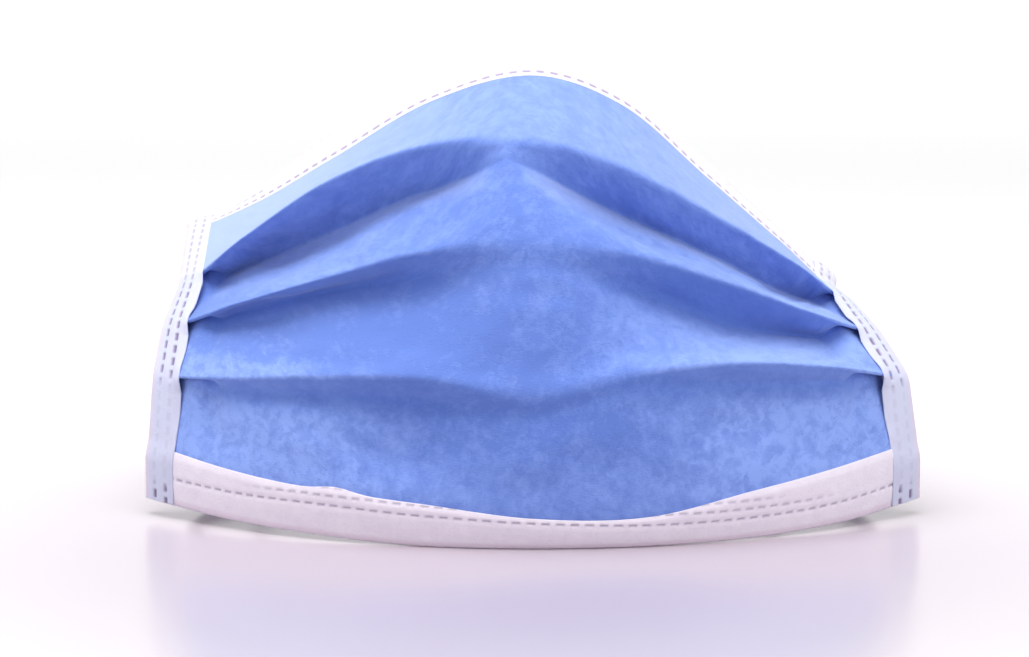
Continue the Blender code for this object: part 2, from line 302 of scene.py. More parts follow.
def valley_and_heel(name, u, nearer=0.0):
    """Where a valley passes, and the back of its ridge's fold.

    nearer moves the place where the pleat shuts towards the side.
    """
    ridge = fold_line(name.replace("valley", "ridge"), u)
    if name == "valley_1":
        above = fold_line("nose_seam", u)
    else:
        above_name = {"valley_2": "valley_1", "valley_3": "valley_2"}[name]
        above = valley_and_heel(above_name, u, FACET_SLANTS[above_name])[0]
    up = unit(above - ridge)
    across = unit(np.gradient(ridge, axis=0))
    outward = unit(np.cross(across, up))
    drop = between(VALLEY_DROPS[name], u)
    tuck = between(TUCKS[name], u)
    if name == "valley_1":
        peak = np.maximum(0.0, 1.0 - np.abs(u - PEAK_AT) / PEAK_REACH) ** PEAK_SHARPNESS
        drop = drop - PEAK_RISE * peak
        tuck = tuck - PEAK_FORWARD * peak
    drop = (MASK_HEIGHT * np.maximum(0.0, drop))[:, None]
    low, high = SHUTS[name]
    shut = smooth(low + nearer, high + 0.5 * nearer, np.abs(u))[:, None]
    opened = drop * np.array([0.0, 0.0, -1.0])
    opened[:, 1] = drop[:, 0] * tuck
    closed = up * HIDDEN_RISE - outward * SHUT_STEP
    passing = 4.0 * HALF_SHUT_STEP * shut * (1.0 - shut)
    valley = ridge + opened * (1.0 - shut) + closed * shut - outward * passing
    heel = ridge + FOLD_DEPTH * unit(unit(opened) * (1.0 - shut) - outward * shut)
    return valley, heel


for ridge_name in ("ridge_3", "ridge_2", "ridge_1"):
    ridge_middle = fold_line(ridge_name, np.zeros(1))[0]
    print(ridge_name, "height in the middle, mm:", round(ridge_middle[2] / MM, 1))

# %% [markdown]
# ## From creases to a dense sheet
# Between two creases the cloth is nearly straight, so rows of points are laid between them. The
# run under the uppermost valley gets a low hump along two slanted lines from the peak, because
# the cloth there forms a small tent. Then each column of points is averaged over a short
# distance along itself, which turns every sharp crease into a soft fold of the right radius.

# %% Rows of the sheet
# Each run's lower crease, its upper crease and its rows
RUNS = (
    ("chin_edge", "chin_seam", 11), ("chin_seam", "valley_3", 25), ("valley_3", "heel_3", 8),
    ("heel_3", "ridge_3", 2), ("ridge_3", "valley_2", 25), ("valley_2", "heel_2", 10),
    ("heel_2", "ridge_2", 2), ("ridge_2", "valley_1", 26), ("valley_1", "heel_1", 12),
    ("heel_1", "ridge_1", 2), ("ridge_1", "nose_seam", 26), ("nose_seam", "nose_edge", 11),
)
# The row of the dense sheet at which each crease lies
ROW_OF = {}
for low_name, high_name, count in RUNS:
    ROW_OF[high_name] = ROW_OF.get(low_name, 0) + count
print("rows of points:", ROW_OF["nose_edge"] + 1)
# Radius over which each crease is softened, in mm, at the sides and in the middle
SOFTNESS = {
    "chin_edge": (1.0, 1.0), "chin_seam": (1.5, 3.0),
    "valley_3": (0.6, 1.6), "ridge_3": (0.35, 2.2),
    "valley_2": (0.6, 3.0), "ridge_2": (0.35, 3.6),
    "valley_1": (0.5, 0.7), "ridge_1": (0.35, 3.2),
    "nose_seam": (2.0, 3.0), "nose_edge": (1.0, 1.0),
}
# The panel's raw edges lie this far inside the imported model's edges, or outside with a minus
SETBACK = {"chin_edge": 0.9 * MM, "nose_edge": -0.5 * MM}
TENT_HEIGHT = 2.8 * MM


# %% From creases to rows
def tent(u, share):
    """How far the run under the uppermost valley stands proud, share being 0 at its lower end."""
    away = np.abs(u - PEAK_AT)
    line = 1.0 - np.minimum(0.66, 0.03 + 2.2 * away)
    height = TENT_HEIGHT * smooth(0.0, 0.09, away) * (1.0 - smooth(0.24, 0.46, away))
    return height * np.where(share < line, share / line, (1.0 - share) / (1.0 - line))


def crease_line(name, u, nearer=0.0):
    """Any crease of the panel, for every u."""
    if name.startswith("valley"):
        return valley_and_heel(name, u, nearer)[0]
    if name.startswith("heel"):
        return valley_and_heel(name.replace("heel", "valley"), u)[1]
    line = fold_line(name, u)
    if name.endswith("edge"):
        line = line + SETBACK[name] * unit(fold_line(name.replace("edge", "seam"), u) - line)
    return line


def softness_of(name, side):
    """A crease's softness in mm. side is 0 in the middle and 1 at the sides."""
    at_side, at_middle = SOFTNESS[name.replace("heel", "ridge")]
    return at_side * side + at_middle * (1 - side)


def sharp_sheet(u):
    """The panel with sharp creases, as rows of points from the chin up, and each row's softness."""
    rows = []
    softness = []
    side = smooth(0.45, 0.9, np.abs(u))
    for low_name, high_name, count in RUNS:
        low = crease_line(low_name, u)
        for i in range(count):
            # Rows lie a little closer together near the creases
            t = i / count
            share = 0.6 * t + 0.4 * (1.0 - math.cos(math.pi * t)) / 2.0
            nearer = FACET_SLANTS.get(high_name, 0.0) * (1.0 - share)
            row = low + (crease_line(high_name, u, nearer) - low) * share
            if high_name == "valley_1":
                row[:, 1] -= tent(u, share)
            rows.append(row)
            radii = [softness_of(n, side) for n in (low_name, high_name)]
            softness.append((radii[0] * (1 - share) + radii[1] * share) * MM)
    rows.append(crease_line("nose_edge", u))
    softness.append(np.full(len(u), MM))
    return np.array(rows), np.array(softness)


# %% Soft folds
def softened(rows, softness):
    """The rows with each point averaged over its softness along its own column."""
    steps = np.linalg.norm(np.diff(rows, axis=0), axis=2)
    travel = np.concatenate([np.zeros((1, rows.shape[1])), np.cumsum(steps, axis=0)])
    taps = np.linspace(-1.0, 1.0, 9)
    weights = 1.0 - 0.85 * np.abs(taps)
    weights = weights / weights.sum()
    result = np.zeros_like(rows)
    for column in range(rows.shape[1]):
        way = travel[:, column]
        for tap, weight in zip(taps, weights):
            at = np.clip(way + tap * softness[:, column], 0.0, way[-1])
            for axis in range(3):
                result[:, column, axis] += weight * np.interp(at, way, rows[:, column, axis])
    return result, travel


# %% [markdown]
# Thin nonwoven never lies quite flat. A few dozen shallow waves with fixed random directions,
# mostly along the pleats, give the sheet the uneven light that the real one shows. They die
# away at the creases, where a wave would push one layer of a fold through the other.

# %% Uneven lie of the cloth
# Height and wavelength of each set of waves, how much longer they are across, count and seed
WAVES = (
    (0.32 * MM, 26.0 * MM, 1.8, 14, 3),
    (0.11 * MM, 9.0 * MM, 1.5, 18, 5),
    (0.035 * MM, 3.5 * MM, 1.2, 24, 9),
)
# The bindings hold the cloth flat as far as the first of these, and it's free from the second
HELD_FLAT = (9.0 * MM, 17.0 * MM)


def ripples(x, y, wavelength, stretch, count, seed):
    """Shallow waves of about that wavelength. They are stretch times longer along x."""
    chance = np.random.default_rng(seed)
    total = np.zeros_like(x)
    for _ in range(count):
        turn = chance.uniform(0.0, 2.0 * math.pi)
        size = wavelength * chance.uniform(0.7, 1.5)
        phase = chance.uniform(0.0, 2.0 * math.pi)
        way = x * math.cos(turn) / stretch + y * math.sin(turn)
        total += np.sin(2 * math.pi * way / size + phase)
    return total / math.sqrt(count / 2.0)


def normals_of(rows):
    """Outward normals of a sheet whose rows go up and whose columns go right."""
    return unit(np.cross(np.gradient(rows, axis=1), np.gradient(rows, axis=0)))


def from_creases(travel, *kinds):
    """How far each point of the sheet is from the nearest crease of those kinds."""
    rows = [row for name, row in ROW_OF.items() if name.split("_")[0] in kinds]
    return np.min([np.abs(travel - travel[row]) for row in rows], axis=0)


# %% The dense sheet
def make_sheet(u):
    """The finished sheet's points, its normals, and its lengths along and across."""
    rows, travel = softened(*sharp_sheet(u))
    along = np.broadcast_to(u * ARC_LENGTH, travel.shape)
    normals = normals_of(rows)
    free = 1.0 - smooth(0.78, 0.90, np.abs(u))[None, :]
    free = free * smooth(*HELD_FLAT, travel) * smooth(*HELD_FLAT, travel[-1][None, :] - travel)
    free = free * smooth(0.5 * MM, 5.0 * MM, from_creases(travel, "ridge", "valley"))
    free = free * (1.0 - 0.5 * smooth(0.0, 3.0 * MM, travel - travel[ROW_OF["ridge_1"]]))
    lift = np.zeros_like(travel)
    for height, *waves in WAVES:
        lift += height * ripples(along, travel, *waves)
    return rows + normals * (lift * free)[..., None], normals, along, travel


COLUMNS = 280
EDGE_U = 1.0 - 1.3 * MM / ARC_LENGTH
panel_u = np.linspace(-EDGE_U, EDGE_U, COLUMNS + 1)
panel_rows, _, panel_along, panel_travel = make_sheet(panel_u)
print("panel rows and columns:", panel_rows.shape[:2])

# %% [markdown]
# ## The panel
# A grid primitive has the right number of squares, and each of its points is moved to its place
# in the dense sheet. Solidify gives the cloth its thickness towards the wearer, and its second
# material is the white layer inside. The cloth is pressed thin at its ridges, so that the inner
# layer stays inside a tight fold.


# %% Grids, kept numbers and walls
def grid_of(name, rows, uv_across, uv_along):
    """A grid primitive moved onto rows of points, with a UV map in tenths of a metre."""
    count_up, count_across = rows.shape[0], rows.shape[1]
    bpy.ops.mesh.primitive_grid_add(
        x_subdivisions=count_across - 1, y_subdivisions=count_up - 1, size=2.0, calc_uvs=True
    )
    piece = bpy.context.active_object
    piece.name = name
    piece.data.name = name
    flat = np.zeros(len(piece.data.vertices) * 3)
    piece.data.vertices.foreach_get("co", flat)
    flat = flat.reshape(-1, 3)
    i = np.rint((flat[:, 0] + 1.0) * 0.5 * (count_across - 1)).astype(int)
    j = np.rint((flat[:, 1] + 1.0) * 0.5 * (count_up - 1)).astype(int)
    piece.data.vertices.foreach_set("co", rows[j, i].ravel())
    corners = np.zeros(len(piece.data.loops), int)
    piece.data.loops.foreach_get("vertex_index", corners)
    uv = np.stack([uv_across[j, i], uv_along[j, i]], axis=1)[corners] * 10.0
    piece.data.uv_layers[0].name = "UVMap"
    piece.data.uv_layers[0].data.foreach_set("uv", uv.ravel())
    piece.data.update()
    return piece, (i, j)


def store(piece, name, values):
    """Keeps a number for each point of a piece, for its finish to read."""
    mark = piece.data.attributes.new(name, "FLOAT", "POINT")
    mark.data.foreach_set("value", np.asarray(values, np.float32))


def thicken(piece, thickness, outwards=False, inner_material=0, pressed=None):
    """Solidify, applied, and smooth shading. pressed thins the wall, point by point."""
    solid = piece.modifiers.new("wall", "SOLIDIFY")
    if pressed is not None:
        group = piece.vertex_groups.new(name="wall")
        levels = np.rint(pressed * 8).astype(int)
        for level in range(9):
            group.add(np.flatnonzero(levels == level).tolist(), level / 8, "REPLACE")
        solid.vertex_group = group.name
    solid.thickness = thickness
    solid.offset = 1.0 if outwards else -1.0
    solid.use_even_offset = False
    solid.material_offset = inner_material
    solid.material_offset_rim = inner_material
    bpy.context.view_layer.objects.active = piece
    bpy.ops.object.modifier_apply(modifier=solid.name)
    bpy.ops.object.shade_smooth()
    piece.select_set(False)


# %% Panel
CLOTH_WALL = 0.35 * MM
panel, (panel_i, panel_j) = grid_of("pleated_panel", panel_rows, panel_along, panel_travel)
panel.data.materials.append(bpy.data.materials.new("blue_spunbond"))
panel.data.materials.append(bpy.data.materials.new("white_lining"))

# %% Numbers that the panel keeps for its finish
# Where the panel over the nose is painted paler, as painted light
nose_share = smooth(0.0, 1.5 * MM, panel_travel - panel_travel[ROW_OF["ridge_1"]])
store(panel, "nose_panel", nose_share[panel_j, panel_i])
# Painted shade in each pleat's crease, under its ridge, with its own strength at the sides and in
# the middle
PLEAT_SHADES = {"valley_3": (0.8, 0.3), "valley_2": (1.0, 0.0), "valley_1": (0.2, 0.2)}
painted_crease_shade = np.zeros_like(panel_travel)
for valley_name, (at_side, at_middle) in PLEAT_SHADES.items():
    from_valley = panel_travel - panel_travel[ROW_OF[valley_name]]
    ridge_row = ROW_OF[valley_name.replace("valley", "ridge")]
    from_ridge = panel_travel[ridge_row] - panel_travel
    shade = smooth(-6.0 * MM, 0.0, from_valley) * smooth(0.2 * MM, 1.2 * MM, from_ridge)
    strength = at_middle + (at_side - at_middle) * smooth(0.08, 0.40, np.abs(panel_u))
    painted_crease_shade = np.maximum(painted_crease_shade, strength[None, :] * shade)
store(panel, "painted_crease_shade", painted_crease_shade[panel_j, panel_i])
# A painted highlight: paler cloth just under the uppermost crease
from_valley = panel_travel - panel_travel[ROW_OF["valley_1"]]
painted_crease_highlight = smooth(-9.0 * MM, -1.0 * MM, from_valley)
painted_crease_highlight = painted_crease_highlight * (1.0 - smooth(-0.5 * MM, 0.5 * MM, from_valley))
painted_crease_highlight = painted_crease_highlight * smooth(0.02, 0.12, np.abs(panel_u - PEAK_AT))[None, :]
painted_crease_highlight = painted_crease_highlight * (1.0 - smooth(0.72, 0.86, np.abs(panel_u)))[None, :]
store(panel, "painted_crease_highlight", painted_crease_highlight[panel_j, panel_i])
print("kept:", [kept.name for kept in panel.data.attributes if kept.data_type == "FLOAT"])

# %% Wall of the panel
wall_share = 0.2 + 0.8 * smooth(1.0 * MM, 2.6 * MM, from_creases(panel_travel, "ridge"))
thicken(panel, CLOTH_WALL, inner_material=1, pressed=wall_share[panel_j, panel_i])
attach(panel, "root")
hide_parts("mask_panel")
print("panel triangles:", 2 * len(panel.data.polygons))

# %% [markdown]
# ## The bindings
# A binding is a strip of white nonwoven folded over an edge and welded with rows of short
# dashes. Its cross-section is an outer leg, a round fold and an inner leg. The strip is swept
# along the edge of the panel, puffs up a little between its weld rows and sinks where a dash
# presses it down. The same numbers place the dents and the darker colour of the dashes.

# %% Weld dashes
DASH_PITCH = 2.85 * MM
DASH_LENGTH = 1.75 * MM
DASH_WIDTH = 0.5 * MM
TOP_DASH = 0.8 * MM
WIDE_DASH = 1.0 * MM
STRIP_WALL = 0.24 * MM
STRIP_GAP = 0.22 * MM
WELD_DENT = 0.22 * MM
# How far a strip stands up between its edge and its border
PUFF = 0.26 * MM
# A weld row pulls the strip down beside its dashes too, by this share and this far
ROW_PULL = 0.55
ROW_PULL_REACH = 1.1 * MM
# A strip's border bends down to the cloth from this share of its width
BORDER_FROM = 0.66
# Squares across a strip's outer leg, its fold and its inner leg
OUTER_SQUARES = 34
FOLD_SQUARES = 8
INNER_SQUARES = 12


def dash_depth(along, from_row, shift, width):
    """1 in a dash of a weld row and 0 outside it. from_row is the distance from the row's line."""
    place = np.abs((along / DASH_PITCH + shift) % 1.0 - 0.5) * DASH_PITCH
    inside_long = 1.0 - smooth(DASH_LENGTH / 2 - 0.18 * MM, DASH_LENGTH / 2 + 0.18 * MM, place)
    inside_wide = 1.0 - smooth(width / 2 - 0.15 * MM, width / 2 + 0.2 * MM, np.abs(from_row))
    return inside_long * inside_wide


# %% A folded strip
def make_strip(name, lie, reach, wall, weld_rows, hump=None, ground=None, dip=0.0, inner=1.0):
    """A folded strip along an edge.

    lie gives, for a distance from the edge, the places that the strip covers and the outward
    normals there. reach is the length of its legs and wall the thickness that it folds over.
    weld_rows has each row's distance from the edge, its phase, strength and dash width. hump is
    a ridge in the strip, ground the height that its fold rests at, dip how far its inner border
    bends down to the cloth, and inner the inner leg's length as a share of the outer one's.
    """
    edge, outward = lie(np.zeros(len(reach)))
    inward = unit(lie(np.full(len(reach), 1.0 * MM))[0] - edge)
    way = np.concatenate([[0.0], np.cumsum(np.linalg.norm(np.diff(edge, axis=0), axis=1))])
    rho = wall / 2 + STRIP_GAP
    sections = []
    legs = []
    for k in range(OUTER_SQUARES + 1):
        share = 1.0 - k / OUTER_SQUARES
        q = reach * share
        puff = PUFF * math.sin(math.pi * share)
        height = STRIP_GAP * (1.0 - 0.9 * smooth(0.85, 1.0, share)) + puff
        if hump:
            height = height + hump(q, way)
        dent = np.zeros(len(q))
        for distance, phase, strength, width in weld_rows:
            beside = 1.0 - smooth(0.2 * MM, ROW_PULL_REACH, np.abs(q - distance))
            dent = np.maximum(dent, strength * ROW_PULL * beside * puff)
            dash = dash_depth(way, q - distance, phase, width)
            dent = np.maximum(dent, strength * dash * (puff + WELD_DENT))
        height = np.maximum(height - dent, 0.02 * MM) - dip * smooth(BORDER_FROM, 1.0, share)
        places, normals = lie(q)
        sections.append(places + normals * height[:, None])
        legs.append(q)
    for k in range(1, FOLD_SQUARES):
        turn = math.pi * k / FOLD_SQUARES
        centre = edge - outward * (wall / 2)[:, None]
        up, out = (math.cos(turn) * rho)[:, None], (math.sin(turn) * rho)[:, None]
        sections.append(centre + outward * up - inward * out)
        legs.append(-rho * turn)
    for k in range(INNER_SQUARES + 1):
        q = reach * inner * k / INNER_SQUARES
        places, normals = lie(q)
        under = 1.6 * dip * smooth(BORDER_FROM, 1.0, k / INNER_SQUARES)
        sections.append(places - normals * (wall + STRIP_GAP + under)[:, None])
        legs.append(-rho * math.pi - q)
    rows = np.array(sections)[::-1]
    if ground is not None:
        rows[..., 2] += (ground + STRIP_WALL - rows[..., 2].min(axis=0))[None, :]
    across = np.array([np.broadcast_to(leg, way.shape) for leg in legs])[::-1]
    along = np.broadcast_to(way, across.shape)
    strip, (i, j) = grid_of(name, rows, along, across)
    press = np.zeros(across.shape)
    for distance, phase, strength, width in weld_rows:
        press = np.maximum(press, strength * dash_depth(along, across - distance, phase, width))
    store(strip, "weld", press[j, i])
    return strip, i


def finish_strip(strip, node):
    """Gives a strip its white finish and its wall, hangs it on the root and hides the imported part
    that it replaces.
    """
    white = bpy.data.materials.get("white_binding") or bpy.data.materials.new("white_binding")
    strip.data.materials.append(white)
    thicken(strip, STRIP_WALL, outwards=True)
    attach(strip, "root")
    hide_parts(node)
    print(strip.name, "triangles:", 2 * len(strip.data.polygons))


# %% Where the strips of the nose edge and the chin edge lie
END_U = 1.0 - 1.6 * MM / ARC_LENGTH
strip_u = np.linspace(-END_U, END_U, 520)
sheet_rows, sheet_normals, _, sheet_travel = make_sheet(strip_u)


def lie_on_sheet(from_nose):
    """A lie() that follows the sheet from its nose edge or its chin edge."""
    distance = sheet_travel[-1][None, :] - sheet_travel if from_nose else sheet_travel

    def lie(q):
        order = slice(None, None, -1) if from_nose else slice(None)
        found = np.zeros((2, len(q), 3))
        for column in range(len(q)):
            at = distance[order, column]
            for kind, table in enumerate((sheet_rows, sheet_normals)):
                for axis in range(3):
                    found[kind, column, axis] = np.interp(q[column], at, table[order, column, axis])
        return found[0], unit(found[1])

    return lie


def leg_length(edge_name, seam_name):
    """How far the strip reaches from the panel's raw edge to its seam."""
    width = np.linalg.norm(fold_line(seam_name, strip_u) - fold_line(edge_name, strip_u), axis=1)
    return width - SETBACK[edge_name]


def between_ends(rise_from, rise_to, fall_from, fall_to):
    """1 on a stretch of a strip and 0 outside it, from left to right."""
    return smooth(rise_from, rise_to, strip_u) * (1.0 - smooth(fall_from, fall_to, strip_u))


# %% Nose binding with its wire
# The pleats that are shut at the sides make the sheet thicker there
wall_here = CLOTH_WALL * (1.0 + 2.0 * smooth(0.6, 0.9, np.abs(strip_u)))
WIRE_FROM_EDGE = 3.6 * MM
WIRE_HALF = 1.5 * MM
WIRE_SPAN = 52.0 * MM
WIRE_HEIGHT = 0.55 * MM


def wire_hump(q, way):
    """The nose wire's low ridge in the strip."""
    side = np.exp(-(((q - WIRE_FROM_EDGE) / WIRE_HALF) ** 4))
    ends = 1.0 - smooth(WIRE_SPAN, WIRE_SPAN + 3 * MM, np.abs(way - way[-1] / 2))
    return WIRE_HEIGHT * side * ends


# A row along the seam, a faint one at the fold, and a short extra one near the left end
reach = leg_length("nose_edge", "nose_seam")
top_rows = [
    (reach - 1.5 * MM, 0.1, 0.82, TOP_DASH),
    (1.1 * MM, 0.6, 0.35, DASH_WIDTH),
    (reach * 0.5, 0.3, between_ends(-0.83, -0.81, -0.73, -0.71), WIDE_DASH),
]
top_strip, _ = make_strip(
    "nose_binding", lie_on_sheet(True), reach, wall_here, top_rows, hump=wire_hump
)
finish_strip(top_strip, "top_binding")

# %% Chin binding
# The main row wanders along the strip, and two fainter rows follow it in the middle
reach = leg_length("chin_edge", "chin_seam")
main_row = between((5.0, 5.4, 6.2, 6.2, 5.2, 4.4, 4.0, 4.0, 4.4), strip_u) * MM
bottom_rows = [
    (main_row, 0.0, 0.62, DASH_WIDTH),
    (main_row + 1.9 * MM, 0.35, 0.5 * between_ends(-0.72, -0.55, 0.6, 0.75), DASH_WIDTH),
    (main_row + 3.5 * MM, 0.7, 0.4 * between_ends(-0.62, -0.5, 0.5, 0.62), DASH_WIDTH),
]
bottom_strip, _ = make_strip(
    "chin_binding", lie_on_sheet(False), reach, wall_here, bottom_rows,
    ground=fold_line("chin_edge", strip_u)[:, 2],
)
finish_strip(bottom_strip, "bottom_binding")

# %% [markdown]
# ## The side bindings
# A side binding bridges the shut pleats, from ridge to ridge, and covers the ends of the other two
# strips. Its two weld rows show best halfway up, and again at its lower end. Higher up it is
# painted whiter and its welds fainter, as painted light where it stands in full light. Lower down
# the blue cloth shows through it.


# %% Where the side bindings lie
SIDE_WIDTH = 9.0 * MM
SIDE_WALL = 2.3 * MM
SIDE_FOLDS = ("chin_edge", "chin_seam", "ridge_3", "ridge_2", "ridge_1", "nose_seam", "nose_edge")
SIDE_STATIONS = 300
# A strip's inner border follows the highest cloth within this many stations
FOLLOW = 4
SIDE_ROWS = (2.9 * MM, 6.5 * MM)
# The inner leg's length as a share of the outer one's
SIDE_INNER = 0.68
# Heights, as shares of each side, above which it is painted as in full light: whiter, with fainter
# welds
BRIGHT_FROM = {"left": 0.57, "right": 0.75}


def side_path(u):
    """The ridges' places at u, joined and softened, at even steps from the chin up."""
    near = np.array([u - 1e-4, u, u + 1e-4])
    points = np.array([fold_line(name, near)[1] for name in SIDE_FOLDS])
    steps = np.concatenate([[0.0], np.cumsum(np.linalg.norm(np.diff(points, axis=0), axis=1))])
    even = np.linspace(0.0, steps[-1], SIDE_STATIONS)
    dense = np.stack([np.interp(even, steps, points[:, axis]) for axis in range(3)], axis=1)
    soft, _ = softened(dense[:, None, :], np.full((SIDE_STATIONS, 1), 3.0 * MM))
    return soft[:, 0, :]


def lie_on_ridges(sign):
    """A lie() that bridges the shut pleats of one side, and its strip's facts, point by point."""
    edge = side_path(sign * (1.0 - 1.0 * MM / ARC_LENGTH))
    tip = side_path(sign * (1.0 - SIDE_WIDTH / ARC_LENGTH))
    inward = unit(tip - edge)
    up = unit(np.gradient((edge + tip) / 2, axis=0))
    outward = unit(np.cross(up, inward) if sign > 0 else np.cross(inward, up))
    share = np.linspace(0.0, 1.0, SIDE_STATIONS)
    over_strips = 0.7 * MM * (1.0 - smooth(0.10, 0.16, share) + smooth(0.90, 0.95, share))
    raised = over_strips + 0.1 * MM

    def lie(q):
        return edge + inward * q[:, None] + outward * raised[:, None], outward

    # How high the panel lies against the strip's inner border, station by station
    column = int(np.argmin(np.abs(panel_u - sign * (1.0 - SIDE_WIDTH / ARC_LENGTH))))
    gap = panel_rows[None, :, column] - (tip + outward * raised[:, None])[:, None]
    along_strip = np.abs((gap * up[:, None]).sum(axis=2))
    above_strip = (gap * outward[:, None]).sum(axis=2)
    nearest = np.where(along_strip < 0.8 * MM, above_strip, -9.0).max(axis=1)
    window = np.arange(-FOLLOW, FOLLOW + 1)
    around = np.clip(np.arange(SIDE_STATIONS)[:, None] + window, 0, SIDE_STATIONS - 1)
    highest = np.clip(nearest[around].max(axis=1), -0.8 * MM, 1.2 * MM)
    border = highest[around].mean(axis=1) + 0.08 * MM
    dip = -border * (smooth(0.13, 0.19, share) - smooth(0.80, 0.88, share))
    return lie, np.linalg.norm(tip - edge, axis=1), over_strips, share, dip


# %% Left binding and right binding
for side_name, sign in (("left", -1.0), ("right", 1.0)):
    lie, reach, over_strips, share, dip = lie_on_ridges(sign)
    bright = BRIGHT_FROM[side_name]
    # The welds fade above the bright height, where the strip is painted as in full light
    seen = smooth(0.27, 0.33, share) * (1.0 - 0.5 * smooth(bright, bright + 0.07, share))
    seen = np.clip(0.12 + 0.88 * (seen + 1.0 - smooth(0.035, 0.06, share)), 0.0, 1.0)
    rows = [(SIDE_ROWS[0], 0.0, seen, WIDE_DASH), (SIDE_ROWS[1], 0.4, seen, WIDE_DASH)]
    wall = SIDE_WALL + 1.4 * over_strips
    strip, stations = make_strip(
        side_name + "_binding", lie, reach, wall, rows, dip=dip, inner=SIDE_INNER
    )
    # The blue cloth shows through the strip. Near its upper end less of it does, as painted light
    # where the strip is in full light
    through = 1.0 - 0.55 * smooth(bright + 0.03, bright + 0.10, share)
    store(strip, "through", through[stations])
    # The right strip is laid out as a mirror image of the left one, so its faces are turned
    if sign > 0:
        bpy.context.view_layer.objects.active = strip
        strip.select_set(True)
        bpy.ops.object.mode_set(mode="EDIT")
        bpy.ops.mesh.select_all(action="SELECT")
        bpy.ops.mesh.flip_normals()
        bpy.ops.object.mode_set(mode="OBJECT")
    finish_strip(strip, side_name + "_side_binding")

# %% [markdown]
# The real panel is cut about 175 mm wide and 157 mm long before it is pleated. The strips are
# its hems.

# %% [markdown]
# ## Shader maths as Python
# A Blender shader is a graph of nodes. The class below wraps a socket, so that `a * 2 + b` adds
# the Math nodes that compute it, and one method adds any other node.


# %% Sockets with operators
class Signal:
    """A number that a node puts out. Python's operators on it add Math nodes."""

    def __init__(self, finish, socket):
        self.finish = finish
        self.socket = socket

    def maths(self, operation, *values):
        return self.finish.node("ShaderNodeMath", {"operation": operation}, values)

    def __add__(self, other):
        return self.maths("ADD", self, other)

    def __radd__(self, other):
        return self.maths("ADD", other, self)

    def __sub__(self, other):
        return self.maths("SUBTRACT", self, other)

    def __rsub__(self, other):
        return self.maths("SUBTRACT", other, self)

    def __mul__(self, other):
        return self.maths("MULTIPLY", self, other)

    def __rmul__(self, other):
        return self.maths("MULTIPLY", other, self)

    def step(self, low, high):
        """0 below low and 1 above high, with a soft step between."""
        return self.finish.node(
            "ShaderNodeMapRange",
            {"interpolation_type": "SMOOTHSTEP"},
            {"Value": self, "From Min": low, "From Max": high},
        )


class Finish:
    """One material, built up node by node."""

    def __init__(self, name):
        self.material = bpy.data.materials.get(name) or bpy.data.materials.new(name)
        self.material.use_nodes = True
        self.tree = self.material.node_tree
        self.shader = self.tree.nodes["Principled BSDF"]

    def feed(self, socket, value):
        if isinstance(value, Signal):
            self.tree.links.new(value.socket, socket)
        else:
            socket.default_value = value

    def node(self, kind, settings, values, output=0):
        """Adds a node, with its settings first and then its sockets, and returns one output."""
        made = self.tree.nodes.new(kind)
        for key, value in settings.items():
            setattr(made, key, value)
        pairs = values.items() if isinstance(values, dict) else enumerate(values)
        for key, value in pairs:
            self.feed(made.inputs[key], value)
        return Signal(self, made.outputs[output])

    def mix(self, share, first, second):
        """A colour between two colours."""
        sockets = {0: share, 6: first, 7: second}
        return self.node("ShaderNodeMix", {"data_type": "RGBA"}, sockets, output=2)

    def noise(self, vector, scale, detail, roughness, distortion=0.0):
        """Cloudy noise, from 0 to 1."""
        sockets = {"Vector": vector, "Scale": scale, "Detail": detail}
        sockets.update({"Roughness": roughness, "Distortion": distortion})
        return self.node("ShaderNodeTexNoise", {}, sockets)

    def kept(self, name):
        """A number that the mesh keeps for each of its points."""
        return self.node("ShaderNodeAttribute", {"attribute_name": name}, {}, "Fac")

    def stretched(self, vector, scale, turn):
        """The same coordinates, turned and scaled."""
        sockets = {"Vector": vector, "Rotation": (0.0, 0.0, turn), "Scale": scale}
        return self.node("ShaderNodeMapping", {}, sockets)

    def bump(self, height, strength, distance):
        """Normals of a relief of that height, distance being the height of 1."""
        sockets = {"Height": height, "Strength": strength, "Distance": distance}
        return self.node("ShaderNodeBump", {}, sockets)

    def set(self, **values):
        """Sets or links sockets of the Principled BSDF, named with underscores."""
        for key, value in values.items():
            self.feed(self.shader.inputs[key.replace("_", " ")], value)


print("operators on a Signal: + - *")

# %% [markdown]
# ## Spunbond cloth
# Spunbond is a mat of fine endless filaments, pressed together at thousands of tiny points. From
# a step away it looks cloudy, because the mat is thicker in some places than in others. The
# pattern is made of slow clouds, streaks of filaments in three directions, and the lattice of
# press points. It follows the cloth's own UV map, in tenths of a metre.


# %% Spunbond
# How often each part of the pattern repeats in a tenth of a metre
CLOUDS = 16.0
PATCHES = 46.0
FLECKS = 34.0
PRESS_POINTS = 110.0
FILAMENTS = (90.0, 620.0, 1.0)
FILAMENT_TURNS = (0.15, 1.2, 2.3)
CLOTH_RELIEF = 0.06 * MM


